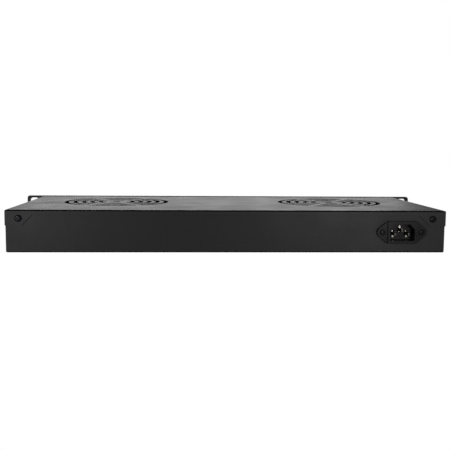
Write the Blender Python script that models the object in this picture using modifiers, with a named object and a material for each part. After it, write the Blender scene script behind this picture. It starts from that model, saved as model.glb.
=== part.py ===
"""A one-unit rack cooling tray: a folded steel box with two vertical fans and a mains inlet.

Seen from the rear (looking along +Y), +X is to the right and +Z is up. The rack panel is at +Y.
The origin is at the bottom centre of the whole tray. Lengths are in metres, from millimetre sizes.
"""
import math

import bmesh
import bpy
from mathutils import Matrix, Vector

MM = 0.001

# Driving dimensions
PANEL_WIDTH = 482.6 * MM        # the rack panel, ear to ear
PANEL_HEIGHT = 43.66 * MM       # one rack unit, less its clearance
PANEL_THICK = 2.0 * MM
PANEL_BACK_Y = 98.0 * MM
COVER_WIDTH = 443.0 * MM
COVER_REAR_Y = -100.0 * MM
COVER_FRONT_Y = 97.2 * MM
HALF_DEPTH = 103.4 * MM         # inlet face to rocker tip, halved
BODY_HEIGHT = 43.0 * MM
SHEET = 1.2 * MM
GAP = 0.3 * MM                  # between two pieces that touch
BEND = 1.5 * MM                 # outer radius of a fold

FAN_X = 121.6 * MM
FAN_Y = 9.0 * MM
FAN_SIZE = 120.0 * MM
FAN_HEIGHT = 38.0 * MM
FAN_HOLE_SPACING = 105.0 * MM
DUCT_RADIUS = 57.5 * MM

VENT_RINGS = 5
VENT_FIRST_RADIUS = 18.5 * MM   # middle of the innermost ring of slots
VENT_RING_PITCH = 9.4 * MM
VENT_SLOT_WIDTH = 4.8 * MM
VENT_SPOKE_WIDTH = 6.0 * MM
VENT_SPOKE_ANGLES = (60.0, 120.0, 240.0, 300.0)
VENT_CENTRE_RADIUS = 4.5 * MM

INLET_X = 176.5 * MM
INLET_Z = 21.2 * MM
INLET_SCREW_SPACING = 40.0 * MM
SWITCH_X = 192.0 * MM

# Planes that follow from them
BODY_BASE = 0.0
BODY_TOP = BODY_BASE + BODY_HEIGHT
PANEL_MIDDLE = PANEL_HEIGHT / 2
PANEL_FRONT_Y = PANEL_BACK_Y + PANEL_THICK
TRAY_HALF_WIDTH = COVER_WIDTH / 2 - 0.4 * MM
TRAY_UPPER_HALF_WIDTH = COVER_WIDTH / 2 - SHEET - GAP
TRAY_REAR_Y = COVER_REAR_Y + SHEET + GAP
TRAY_FRONT_Y = PANEL_BACK_Y - GAP
TRAY_TOP = BODY_TOP - SHEET - GAP
FLANGE_DROP = 15.7 * MM         # depth of the cover's side flanges and rear tabs
JOGGLE_Z = BODY_TOP - FLANGE_DROP - GAP
FLOOR = BODY_BASE + SHEET
FAN_BASE = FLOOR + GAP

for old in list(bpy.data.objects):
    bpy.data.objects.remove(old)
PARTS = bpy.data.collections.new("rack_cooling_tray")
CUTTERS = bpy.data.collections.new("cutters")
bpy.context.scene.collection.children.link(PARTS)
bpy.context.scene.collection.children.link(CUTTERS)


# Shared modelling steps

def finish_material(name, colour, roughness, metallic=0.0):
    made = bpy.data.materials.new(name)
    made.use_nodes = True
    shader = made.node_tree.nodes["Principled BSDF"]
    shader.inputs["Base Color"].default_value = (*colour, 1.0)
    shader.inputs["Roughness"].default_value = roughness
    shader.inputs["Metallic"].default_value = metallic
    return made


def place(name, mesh, finish=None):
    """Link a mesh as a part, or as a hidden cutter when it has no finish."""
    made = bpy.data.objects.new(name, mesh)
    if finish is None:
        made.hide_render = True
        made.display_type = "WIRE"
        CUTTERS.objects.link(made)
    else:
        mesh.materials.clear()
        mesh.materials.append(finish)
        PARTS.objects.link(made)
    return made


def box(name, low, high, finish=None):
    mesh = bpy.data.meshes.new(name)
    shape = bmesh.new()
    bmesh.ops.create_cube(shape, size=1.0)
    low = Vector(low)
    high = Vector(high)
    bmesh.ops.scale(shape, vec=high - low, verts=shape.verts)
    bmesh.ops.translate(shape, vec=(low + high) / 2, verts=shape.verts)
    shape.to_mesh(mesh)
    shape.free()
    return place(name, mesh, finish)


def cylinder(name, centre, radius, length, axis="Z", sides=12, end_radius=None, finish=None):
    """A cylinder or a cone about an axis; end_radius is at its positive end."""
    mesh = bpy.data.meshes.new(name)
    shape = bmesh.new()
    far = radius if end_radius is None else end_radius
    bmesh.ops.create_cone(shape, cap_ends=True, segments=sides, radius1=radius, radius2=far, depth=length)
    turn = {"X": Matrix.Rotation(math.pi / 2, 3, "Y"),
            "Y": Matrix.Rotation(-math.pi / 2, 3, "X"),
            "Z": Matrix.Identity(3)}[axis]
    bmesh.ops.rotate(shape, matrix=turn, verts=shape.verts)
    bmesh.ops.translate(shape, vec=centre, verts=shape.verts)
    shape.to_mesh(mesh)
    shape.free()
    made = place(name, mesh, finish)
    smooth(made)
    return made


def smooth(made, angle=40.0):
    if made.type == "MESH":
        made.data.shade_smooth()
        made.data.set_sharp_from_angle(angle=math.radians(angle))


def arc(centre, radius, start, end, steps):
    """Points on an arc in degrees, both ends included."""
    angles = [math.radians(start + (end - start) * step / steps) for step in range(steps + 1)]
    return [(centre[0] + radius * math.cos(a), centre[1] + radius * math.sin(a)) for a in angles]


def rounded_rectangle(width, height, radius, steps=3, centre=(0.0, 0.0)):
    points = []
    for corner, (side_x, side_y) in enumerate(((1, 1), (-1, 1), (-1, -1), (1, -1))):
        middle = (centre[0] + side_x * (width / 2 - radius), centre[1] + side_y * (height / 2 - radius))
        points += arc(middle, radius, 90 * corner, 90 * corner + 90, steps)
    return points


def slot_outline(width, height, centre):
    """A slot with round ends, lying level."""
    reach = (width - height) / 2
    right = arc((centre[0] + reach, centre[1]), height / 2, -90.0, 90.0, 6)
    left = arc((centre[0] - reach, centre[1]), height / 2, 90.0, 270.0, 6)
    return right + left


def prism(name, loops, thickness, matrix, finish=None):
    """A flat outline with its holes, given a thickness and stood in its place."""
    flat = bpy.data.curves.new(name, "CURVE")
    flat.dimensions = "2D"
    flat.fill_mode = "BOTH"
    flat.extrude = thickness / 2
    for loop in loops:
        spline = flat.splines.new("POLY")
        spline.points.add(len(loop) - 1)
        for point, (u, v) in zip(spline.points, loop):
            point.co = (u, v, 0.0, 1.0)
        spline.use_cyclic_u = True
    outline = bpy.data.objects.new(name + "_outline", flat)
    CUTTERS.objects.link(outline)
    outline.matrix_world = matrix
    bpy.context.view_layer.update()
    mesh = bpy.data.meshes.new_from_object(outline.evaluated_get(bpy.context.evaluated_depsgraph_get()))
    shape = bmesh.new()
    shape.from_mesh(mesh)
    bmesh.ops.remove_doubles(shape, verts=shape.verts, dist=1e-6)
    bmesh.ops.recalc_face_normals(shape, faces=shape.faces)
    shape.to_mesh(mesh)
    shape.free()
    made = place(name, mesh, finish)
    made.matrix_world = outline.matrix_world
    bpy.data.objects.remove(outline)
    return made


def flat_at(x=0.0, y=0.0, z=0.0):
    """An outline's u and v along X and Y."""
    return Matrix.Translation((x, y, z))


def upright_at(x=0.0, y=0.0, z=0.0):
    """An outline's u and v along X and Z, its thickness along Y."""
    return Matrix.Translation((x, y, z)) @ Matrix.Rotation(math.pi / 2, 4, "X")


def sideways_at(x=0.0, y=0.0, z=0.0):
    """An outline's u and v along Y and Z, its thickness along X."""
    turn = Matrix(((0, 0, 1, 0), (1, 0, 0, 0), (0, 1, 0, 0), (0, 0, 0, 1)))
    return Matrix.Translation((x, y, z)) @ turn


def turned(name, profile, centre, steps, finish=None, upside_down=False, axis="Z"):
    """A turned piece: (radius, height) points that run down its outer side."""
    mesh = bpy.data.meshes.new(name)
    mesh.from_pydata([(r, 0.0, h) for r, h in profile], [(i, i + 1) for i in range(len(profile) - 1)], [])
    made = place(name, mesh, finish)
    made.location = centre
    if axis == "Y":
        made.rotation_euler = (math.pi / 2, 0.0, 0.0)
    elif axis == "-Y":
        made.rotation_euler = (-math.pi / 2, 0.0, 0.0)
    elif axis == "X":
        made.rotation_euler = (0.0, math.pi / 2, 0.0)
    elif axis == "-X":
        made.rotation_euler = (0.0, -math.pi / 2, 0.0)
    elif upside_down:
        made.rotation_euler = (math.pi, 0.0, 0.0)
    screw = made.modifiers.new("turn", "SCREW")
    screw.axis = "Z"
    screw.angle = 2 * math.pi
    screw.steps = steps
    screw.render_steps = steps
    screw.use_merge_vertices = True
    screw.merge_threshold = 0.00001
    screw.use_smooth_shade = False
    return made


def combine(made, operation, *others):
    for other in others:
        step = made.modifiers.new(operation.lower(), "BOOLEAN")
        step.operation = operation
        step.solver = "EXACT"
        step.object = other
    return made


def cut(made, *cutters):
    return combine(made, "DIFFERENCE", *cutters)


def join(made, *pieces):
    return combine(made, "UNION", *pieces)


# Finishes
POWDER_BLACK = finish_material("powder_coated_steel", (0.022, 0.022, 0.023), 0.55)
SCREW_BLACK = finish_material("black_oxide_screw", (0.02, 0.02, 0.02), 0.35, 0.9)
STEEL = finish_material("zinc_plated_steel", (0.62, 0.62, 0.60), 0.3, 1.0)
NICKEL = finish_material("nickel_plated_brass", (0.72, 0.70, 0.66), 0.25, 1.0)
MOULDED_BLACK = finish_material("black_nylon", (0.012, 0.012, 0.012), 0.4)
DIE_CAST = finish_material("black_die_casting", (0.03, 0.03, 0.03), 0.5)
IMPELLER_BLACK = finish_material("black_glass_filled_polyester", (0.018, 0.018, 0.018), 0.45)
COPPER = finish_material("enamelled_copper", (0.45, 0.18, 0.08), 0.35, 1.0)
SILICON_STEEL = finish_material("silicon_steel", (0.35, 0.35, 0.36), 0.45, 1.0)
NATURAL_NYLON = finish_material("natural_nylon", (0.75, 0.73, 0.66), 0.5)
LEAD_BROWN = finish_material("brown_wire", (0.10, 0.04, 0.02), 0.45)
LEAD_BLUE = finish_material("blue_wire", (0.03, 0.12, 0.40), 0.45)
LEAD_EARTH = finish_material("green_yellow_wire", (0.20, 0.42, 0.05), 0.45)
LEAD_BLACK = finish_material("black_wire", (0.015, 0.015, 0.015), 0.45)


# Vents: rings of slots left between four spokes

def vent_loops(centre):
    loops = []
    for ring in range(VENT_RINGS):
        middle = VENT_FIRST_RADIUS + ring * VENT_RING_PITCH
        trim = math.degrees(math.asin(VENT_SPOKE_WIDTH / 2 / middle))
        for spoke, start in enumerate(VENT_SPOKE_ANGLES):
            end = VENT_SPOKE_ANGLES[(spoke + 1) % 4] + (360.0 if spoke == 3 else 0.0)
            steps = max(4, round((end - start) / 15.0))
            outer = arc(centre, middle + VENT_SLOT_WIDTH / 2, start + trim, end - trim, steps)
            inner = arc(centre, middle - VENT_SLOT_WIDTH / 2, end - trim, start + trim, steps)
            loops.append(outer + inner)
    loops.append(arc(centre, VENT_CENTRE_RADIUS, 0.0, 324.0, 9))
    return loops


def vent_cutter(name, z):
    loops = vent_loops((-FAN_X, FAN_Y)) + vent_loops((FAN_X, FAN_Y))
    return prism(name, loops, 4 * SHEET, flat_at(z=z))


# Base tray: one folded sheet, open at the top

def folded_shell(name, low, high, open_sides, bend_test, finish):
    """A box without its open sides, its folds rounded, thickened inwards."""
    mesh = bpy.data.meshes.new(name)
    shape = bmesh.new()
    bmesh.ops.create_cube(shape, size=1.0)
    low = Vector(low)
    high = Vector(high)
    bmesh.ops.scale(shape, vec=high - low, verts=shape.verts)
    bmesh.ops.translate(shape, vec=(low + high) / 2, verts=shape.verts)
    shape.normal_update()
    gone = [f for f in shape.faces if any(f.normal.dot(Vector(side)) > 0.9 for side in open_sides)]
    bmesh.ops.delete(shape, geom=gone, context="FACES")
    folds = [e for e in shape.edges if len(e.link_faces) == 2 and bend_test(e)]
    bmesh.ops.bevel(shape, geom=folds, offset=BEND, segments=3, profile=0.5, affect="EDGES")
    shape.to_mesh(mesh)
    shape.free()
    made = place(name, mesh, finish)
    wall = made.modifiers.new("sheet", "SOLIDIFY")
    wall.thickness = SHEET
    wall.offset = -1.0
    wall.use_even_offset = True
    return made


def edge_is_level(edge):
    first, second = edge.verts
    return abs(first.co.z - second.co.z) < 1e-6


def fan_screw_places():
    half = FAN_HOLE_SPACING / 2
    return [(side * FAN_X + dx, FAN_Y + dy) for side in (-1, 1) for dx in (-half, half)
            for dy in (-half, half)]


COVER_SCREW_X = 208.2 * MM
COVER_SCREW_Z = BODY_BASE + 34.4 * MM
SIDE_SCREW_Y = 60.0 * MM
SIDE_SCREW_Z = BODY_BASE + 34.4 * MM
PANEL_SCREW_X = (-210.0 * MM, -70.0 * MM, 70.0 * MM, 212.0 * MM)
THREAD_HOLE = 1.8 * MM
FAN_SCREW_HOLE = 2.1 * MM
INLET_HOLE_X = 13.9 * MM
INLET_HOLE_Z = 10.2 * MM
SWITCH_HOLE_X = 6.9 * MM
SWITCH_HOLE_Z = 9.9 * MM
EARTH_X = 120.0 * MM
EARTH_Y = -84.0 * MM
BLOCK_SCREW = (200.0 * MM, -26.0 * MM)

tray = folded_shell("base_tray", (-TRAY_HALF_WIDTH, TRAY_REAR_Y, BODY_BASE),
                    (TRAY_HALF_WIDTH, TRAY_FRONT_Y, TRAY_TOP), ((0, 0, 1),), edge_is_level, POWDER_BLACK)
tray_cuts = [vent_cutter("tray_vent_cutter", BODY_BASE + SHEET / 2)]

# Each side wall is joggled inwards by a sheet's thickness, so that the cover's flange lies flush above the step
for side in (-1, 1):
    across = (side * (TRAY_UPPER_HALF_WIDTH - SHEET), side * (TRAY_UPPER_HALF_WIDTH + SHEET / 2))
    join(tray, box(f"tray_joggle_{side}", (min(across), TRAY_REAR_Y + SHEET / 2, JOGGLE_Z - SHEET),
                   (max(across), TRAY_FRONT_Y - SHEET / 2, TRAY_TOP - SHEET / 4)))
    across = (side * TRAY_UPPER_HALF_WIDTH, side * (TRAY_HALF_WIDTH + 4 * SHEET))
    cut(tray, box(f"tray_joggle_cut_{side}", (min(across), TRAY_REAR_Y - 4 * SHEET, JOGGLE_Z),
                  (max(across), TRAY_FRONT_Y + 4 * SHEET, TRAY_TOP + 4 * SHEET)))
for number, (x, y) in enumerate(fan_screw_places()):
    tray_cuts.append(cylinder(f"tray_fan_hole_{number}", (x, y, BODY_BASE), 4.35 * MM, 2.0 * MM,
                              end_radius=2.35 * MM))
    tray_cuts.append(cylinder(f"tray_fan_bore_{number}", (x, y, FLOOR), FAN_SCREW_HOLE, 8 * MM))
for side in (-1, 1):
    tray_cuts.append(cylinder(f"tray_rear_hole_{side}", (side * COVER_SCREW_X, TRAY_REAR_Y, COVER_SCREW_Z),
                              THREAD_HOLE, 6 * MM, "Y", 12))
    tray_cuts.append(cylinder(f"tray_side_hole_{side}",
                              (side * TRAY_UPPER_HALF_WIDTH, SIDE_SCREW_Y, SIDE_SCREW_Z),
                              THREAD_HOLE, 6 * MM, "X", 12))
    tray_cuts.append(cylinder(f"tray_inlet_hole_{side}",
                              (INLET_X + side * INLET_SCREW_SPACING / 2, TRAY_REAR_Y, INLET_Z),
                              THREAD_HOLE, 6 * MM, "Y", 12))
for number, x in enumerate(PANEL_SCREW_X):
    tray_cuts.append(cylinder(f"tray_panel_hole_{number}", (x, TRAY_FRONT_Y, PANEL_MIDDLE), THREAD_HOLE,
                              6 * MM, "Y", 12))
tray_cuts.append(box("tray_inlet_cutout", (INLET_X - INLET_HOLE_X, TRAY_REAR_Y - 3 * MM,
                                           INLET_Z - INLET_HOLE_Z),
                     (INLET_X + INLET_HOLE_X, TRAY_REAR_Y + 3 * MM, INLET_Z + INLET_HOLE_Z)))
tray_cuts.append(box("tray_switch_cutout", (SWITCH_X - SWITCH_HOLE_X, TRAY_FRONT_Y - 3 * MM,
                                            PANEL_MIDDLE - SWITCH_HOLE_Z),
                     (SWITCH_X + SWITCH_HOLE_X, TRAY_FRONT_Y + 3 * MM, PANEL_MIDDLE + SWITCH_HOLE_Z)))
tray_cuts.append(cylinder("tray_earth_hole", (EARTH_X, EARTH_Y, FLOOR), 2.3 * MM, 6 * MM, sides=12))
tray_cuts.append(cylinder("tray_block_hole", (*BLOCK_SCREW, FLOOR), THREAD_HOLE, 6 * MM, sides=12))
cut(tray, *tray_cuts)


# Top cover: a folded lid whose rear flange drops to a chamfered tab at each end

REAR_FLANGE_DROP = 5.0 * MM
TAB_BOTTOM_X = 205.0 * MM
TAB_TOP_X = 195.0 * MM

cover = folded_shell("top_cover", (-COVER_WIDTH / 2, COVER_REAR_Y, BODY_TOP - FLANGE_DROP),
                     (COVER_WIDTH / 2, COVER_FRONT_Y, BODY_TOP), ((0, 0, -1), (0, 1, 0)), edge_is_level,
                     POWDER_BLACK)
flange_low = BODY_TOP - FLANGE_DROP
flange_high = BODY_TOP - REAR_FLANGE_DROP
notch = prism("cover_rear_notch",
              [[(-TAB_BOTTOM_X - 1 * MM, flange_low - 1 * MM), (TAB_BOTTOM_X + 1 * MM, flange_low - 1 * MM),
                (TAB_TOP_X, flange_high), (-TAB_TOP_X, flange_high)]],
              6 * MM, upright_at(y=COVER_REAR_Y))
cover_cuts = [vent_cutter("cover_vent_cutter", BODY_TOP - SHEET / 2), notch]
for side in (-1, 1):
    cover_cuts.append(cylinder(f"cover_rear_hole_{side}", (side * COVER_SCREW_X, COVER_REAR_Y, COVER_SCREW_Z),
                               THREAD_HOLE, 6 * MM, "Y", 12))
    cover_cuts.append(cylinder(f"cover_side_hole_{side}",
                               (side * COVER_WIDTH / 2, SIDE_SCREW_Y, SIDE_SCREW_Z),
                               THREAD_HOLE, 6 * MM, "X", 12))
cut(cover, *cover_cuts)


# Rack panel with its two ears

PANEL_CORNER = 3.2 * MM
EAR_SLOT_X = 232.55 * MM
EAR_SLOT_RISE = 15.875 * MM
EAR_SLOT_WIDTH = 10.0 * MM
EAR_SLOT_HEIGHT = 6.8 * MM

panel = prism("front_panel", [rounded_rectangle(PANEL_WIDTH, PANEL_HEIGHT, PANEL_CORNER)], PANEL_THICK,
              upright_at(y=PANEL_BACK_Y + PANEL_THICK / 2, z=PANEL_MIDDLE), POWDER_BLACK)
for side in (-1, 1):
    for rise in (-1, 1):
        slot = slot_outline(EAR_SLOT_WIDTH, EAR_SLOT_HEIGHT, (side * EAR_SLOT_X, rise * EAR_SLOT_RISE))
        cut(panel, prism(f"ear_slot_{side}_{rise}", [slot], 8 * MM,
                         upright_at(y=PANEL_BACK_Y, z=PANEL_MIDDLE)))
cut(panel, box("panel_switch_cutout", (SWITCH_X - SWITCH_HOLE_X, PANEL_BACK_Y - 3 * MM,
                                       PANEL_MIDDLE - SWITCH_HOLE_Z),
               (SWITCH_X + SWITCH_HOLE_X, PANEL_FRONT_Y + 3 * MM, PANEL_MIDDLE + SWITCH_HOLE_Z)))
for number, x in enumerate(PANEL_SCREW_X):
    cut(panel, cylinder(f"panel_screw_hole_{number}", (x, PANEL_FRONT_Y - 0.5 * MM, PANEL_MIDDLE),
                        1.2 * MM, 5.0 * MM, "Y", end_radius=5.2 * MM),
        cylinder(f"panel_screw_bore_{number}", (x, PANEL_BACK_Y, PANEL_MIDDLE), THREAD_HOLE, 8 * MM, "Y"))


# Screws: a pan head stands on the sheet, a flat head sits in its countersink

def pan_screw(name, centre, axis, head_radius, head_height, shank_radius, length, finish):
    """Head outwards along the axis, shank inwards; the centre is under the head."""
    profile = [(0.0, head_height), (head_radius * 0.55, head_height * 0.92),
               (head_radius * 0.88, head_height * 0.6), (head_radius, head_height * 0.15), (head_radius, 0.0),
               (shank_radius, 0.0), (shank_radius, -length), (0.0, -length)]
    return turned(name, profile, centre, 12, finish, axis=axis)


def flat_screw(name, centre, head_radius, head_depth, shank_radius, length, finish, upside_down=False,
               axis="Z"):
    """Flat face outwards at the centre, shank inwards."""
    profile = [(0.0, 0.0), (head_radius, 0.0), (shank_radius, -head_depth), (shank_radius, -length),
               (0.0, -length)]
    return turned(name, profile, centre, 12, finish, upside_down=upside_down, axis=axis)


SHANK = 1.5 * MM
for side, word in ((-1, "left"), (1, "right")):
    pan_screw(f"cover_screw_{word}", (side * COVER_SCREW_X, COVER_REAR_Y - GAP, COVER_SCREW_Z), "Y",
              3.5 * MM, 1.9 * MM, SHANK, 6.5 * MM, SCREW_BLACK)
    pan_screw(f"side_screw_{word}", (side * (COVER_WIDTH / 2 + GAP), SIDE_SCREW_Y, SIDE_SCREW_Z),
              "X" if side > 0 else "-X", 3.5 * MM, 1.9 * MM, SHANK, 6.5 * MM, SCREW_BLACK)
for x, word in zip(PANEL_SCREW_X, ("left_outer", "left_inner", "right_inner", "right_outer")):
    flat_screw(f"panel_screw_{word}", (x, PANEL_FRONT_Y - 0.1 * MM, PANEL_MIDDLE), 3.1 * MM, 1.6 * MM, SHANK,
               7.0 * MM, SCREW_BLACK, axis="-Y")
for number, (x, y) in enumerate(fan_screw_places()):
    word = "left" if x < 0 else "right"
    flat_screw(f"fan_screw_{word}_{number % 4 + 1}", (x, y, BODY_BASE + 0.1 * MM), 2.95 * MM, 1.2 * MM,
               1.75 * MM, 7.5 * MM, SCREW_BLACK, upside_down=True)


# Mains inlet: a moulded housing on the rear wall, with three blades

INLET_BACK_Y = TRAY_REAR_Y - GAP
INLET_WING = 2.8 * MM
INLET_FACE_Y = -HALF_DEPTH
INLET_BLOCK_WIDTH = 30.0 * MM
INLET_BLOCK_HEIGHT = 22.5 * MM
INLET_END_RADIUS = 5.5 * MM
SOCKET_WIDTH = 25.0 * MM
SOCKET_HEIGHT = 16.5 * MM
SOCKET_CHAMFER = 5.0 * MM
SOCKET_DEPTH = 12.8 * MM
INLET_REAR_END_Y = INLET_BACK_Y + 13.0 * MM
INLET_REAR_HALF_WIDTH = INLET_HOLE_X - GAP
INLET_REAR_HALF_HEIGHT = INLET_HOLE_Z - GAP
BLADE_SPREAD = 7.0 * MM
LIVE_DROP = 2.0 * MM
EARTH_RISE = 2.0 * MM


def inlet_outline():
    """The flange: a block with a rounded wing at each side, joined by straight tapers."""
    half_width = INLET_BLOCK_WIDTH / 2
    half_height = INLET_BLOCK_HEIGHT / 2
    reach = INLET_SCREW_SPACING / 2
    away = math.hypot(half_width - reach, half_height)
    start = math.degrees(math.atan2(half_height, half_width - reach) - math.acos(INLET_END_RADIUS / away))
    right = [(half_width, -half_height)] + arc((reach, 0.0), INLET_END_RADIUS, -start, start, 8)
    right.append((half_width, half_height))
    left = [(-u, -v) for u, v in right]
    return right + left


def inlet_socket():
    half_width = SOCKET_WIDTH / 2
    half_height = SOCKET_HEIGHT / 2
    return [(-half_width, -half_height), (half_width, -half_height),
            (half_width, half_height - SOCKET_CHAMFER),
            (half_width - SOCKET_CHAMFER, half_height), (-half_width + SOCKET_CHAMFER, half_height),
            (-half_width, half_height - SOCKET_CHAMFER)]


inlet = prism("inlet_body", [inlet_outline()], INLET_WING,
              upright_at(INLET_X, INLET_BACK_Y - INLET_WING / 2, INLET_Z), MOULDED_BLACK)
inlet_block = box("inlet_block", (INLET_X - INLET_BLOCK_WIDTH / 2, INLET_FACE_Y,
                                  INLET_Z - INLET_BLOCK_HEIGHT / 2),
                  (INLET_X + INLET_BLOCK_WIDTH / 2, INLET_BACK_Y - 1 * MM, INLET_Z + INLET_BLOCK_HEIGHT / 2))
inlet_rear = box("inlet_rear", (INLET_X - INLET_REAR_HALF_WIDTH, INLET_BACK_Y - 1 * MM,
                                INLET_Z - INLET_REAR_HALF_HEIGHT),
                 (INLET_X + INLET_REAR_HALF_WIDTH, INLET_REAR_END_Y, INLET_Z + INLET_REAR_HALF_HEIGHT))
join(inlet, inlet_block, inlet_rear)
cut(inlet, prism("inlet_socket_cutter", [inlet_socket()], 2 * SOCKET_DEPTH,
                 upright_at(INLET_X, INLET_FACE_Y, INLET_Z - 0.2 * MM)))
for side in (-1, 1):
    cut(inlet, cylinder(f"inlet_wing_hole_{side}", (INLET_X + side * INLET_SCREW_SPACING / 2, INLET_BACK_Y,
                                                    INLET_Z),
                        THREAD_HOLE, 8 * MM, "Y", 12))

BLADES = (("neutral", -BLADE_SPREAD, -LIVE_DROP), ("live", BLADE_SPREAD, -LIVE_DROP),
          ("earth", 0.0, EARTH_RISE))
BLADE_TIP_Y = INLET_FACE_Y + 1.6 * MM
SOCKET_FLOOR_Y = INLET_FACE_Y + SOCKET_DEPTH
TAB_END_Y = INLET_REAR_END_Y + 8.5 * MM
for word, dx, dz in BLADES:
    x = INLET_X + dx
    z = INLET_Z + dz
    cut(inlet, box(f"inlet_{word}_slot", (x - 1.3 * MM, SOCKET_FLOOR_Y - 1 * MM, z - 3.45 * MM),
                   (x + 1.3 * MM, INLET_REAR_END_Y + 1 * MM, z + 3.45 * MM)))
    pin = box(f"inlet_blade_{word}", (x - 1 * MM, BLADE_TIP_Y, z - 2 * MM),
              (x + 1 * MM, SOCKET_FLOOR_Y, z + 2 * MM), NICKEL)
    chamfer = pin.modifiers.new("tip", "BEVEL")
    chamfer.width = 0.4 * MM
    chamfer.segments = 1
    chamfer.limit_method = "ANGLE"
    below, above = (4.0 * MM, 1.5 * MM) if dz < 0 else (1.5 * MM, 4.0 * MM)
    join(pin, box(f"inlet_{word}_shoulder", (x - 0.99 * MM, SOCKET_FLOOR_Y - 1.3 * MM, z - below),
                  (x + 0.99 * MM, SOCKET_FLOOR_Y - GAP, z + above)),
         box(f"inlet_{word}_tab", (x - 0.4 * MM, SOCKET_FLOOR_Y - 0.8 * MM, z - 3.15 * MM),
             (x + 0.4 * MM, TAB_END_Y, z + 3.15 * MM)))

NUT_Y = TRAY_REAR_Y + SHEET + GAP
for side, word in ((-1, "left"), (1, "right")):
    x = INLET_X + side * INLET_SCREW_SPACING / 2
    pan_screw(f"inlet_screw_{word}", (x, INLET_BACK_Y - INLET_WING - GAP, INLET_Z), "Y", 2.9 * MM, 1.5 * MM,
              SHANK, 9.0 * MM, SCREW_BLACK)
    nut = cylinder(f"inlet_nut_{word}", (x, NUT_Y + 1.2 * MM, INLET_Z), 3.1 * MM, 2.4 * MM, "Y", 6,
                   finish=STEEL)
    cut(nut, cylinder(f"inlet_nut_bore_{word}", (x, NUT_Y + 1.2 * MM, INLET_Z), THREAD_HOLE, 5 * MM, "Y", 12))


# Earth stud on the floor, with its nut and ring terminal

STUD_TOP = FLOOR + 10 * MM
turned("earth_stud", [(0.0, STUD_TOP - FLOOR), (2.0 * MM, STUD_TOP - FLOOR), (2.0 * MM, 0.1 * MM - SHEET),
                      (0.0, 0.1 * MM - SHEET)],
       (EARTH_X, EARTH_Y, FLOOR), 12, STEEL)
ring = cylinder("earth_ring_terminal", (EARTH_X, EARTH_Y, FLOOR + GAP + 0.4 * MM), 4.2 * MM, 0.8 * MM,
                sides=16, finish=NICKEL)
ring_tail = box("earth_ring_tail", (EARTH_X + 3.4 * MM, EARTH_Y - 1.6 * MM, FLOOR + GAP + 0.1 * MM),
                (EARTH_X + 9 * MM, EARTH_Y + 1.6 * MM, FLOOR + GAP + 0.7 * MM))
ring_barrel = cylinder("earth_ring_barrel", (EARTH_X + 11 * MM, EARTH_Y, FLOOR + GAP + 2.0 * MM), 1.9 * MM,
                       6 * MM, "X", 12)
join(ring, ring_tail, ring_barrel)
cut(ring, cylinder("earth_ring_hole", (EARTH_X, EARTH_Y, FLOOR), 2.3 * MM, 6 * MM, sides=12))
nut = cylinder("earth_nut", (EARTH_X, EARTH_Y, FLOOR + 2 * GAP + 2.4 * MM), 4.0 * MM, 3.2 * MM, sides=6,
               finish=STEEL)
cut(nut, cylinder("earth_nut_bore", (EARTH_X, EARTH_Y, FLOOR + 3 * MM), 2.3 * MM, 8 * MM, sides=12))


# Terminal block beside the right fan

BLOCK_LOW = (190.0 * MM, -41.0 * MM, FLOOR + GAP)
BLOCK_HIGH = (210.0 * MM, -11.0 * MM, FLOOR + GAP + 12 * MM)
block = box("terminal_block", BLOCK_LOW, BLOCK_HIGH, NATURAL_NYLON)
cut(block, cylinder("block_screw_bore", (*BLOCK_SCREW, BLOCK_HIGH[2]), THREAD_HOLE, 40 * MM, sides=12))
turned("terminal_block_screw", [(0.0, 1.8 * MM), (2.4 * MM, 1.4 * MM), (2.8 * MM, 0.0), (SHANK, 0.0),
                                (SHANK, -13.2 * MM), (0.0, -13.2 * MM)], (*BLOCK_SCREW, BLOCK_HIGH[2] + GAP),
       12, STEEL)


# Power switch in the panel: a snap-in housing, two tabs and a rocker on a level axis

SWITCH_BEZEL = 1.6 * MM
SWITCH_FACE_Y = PANEL_FRONT_Y + GAP + SWITCH_BEZEL
ROCKER_AXIS_Y = PANEL_FRONT_Y - 1.0 * MM
ROCKER_TILT = math.radians(-10.0)    # off: its lower end pressed in
ROCKER_LENGTH = 15.6 * MM
ROCKER_WIDTH = 9.6 * MM
ROCKER_END = (HALF_DEPTH - ROCKER_AXIS_Y - ROCKER_LENGTH / 2 * math.sin(-ROCKER_TILT)) / math.cos(ROCKER_TILT)
switch = prism("switch_housing", [rounded_rectangle(15.0 * MM, 21.0 * MM, 1.0 * MM, 3)], SWITCH_BEZEL,
               upright_at(SWITCH_X, PANEL_FRONT_Y + GAP + SWITCH_BEZEL / 2, PANEL_MIDDLE), MOULDED_BLACK)
join(switch, box("switch_barrel", (SWITCH_X - 6.5 * MM, PANEL_BACK_Y - 17 * MM, PANEL_MIDDLE - 9.5 * MM),
                 (SWITCH_X + 6.5 * MM, PANEL_FRONT_Y + GAP + 0.8 * MM, PANEL_MIDDLE + 9.5 * MM)))
cut(switch, box("switch_well", (SWITCH_X - 5.2 * MM, ROCKER_AXIS_Y - 5.0 * MM, PANEL_MIDDLE - 8.6 * MM),
                (SWITCH_X + 5.2 * MM, SWITCH_FACE_Y + 1 * MM, PANEL_MIDDLE + 8.6 * MM)))

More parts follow.
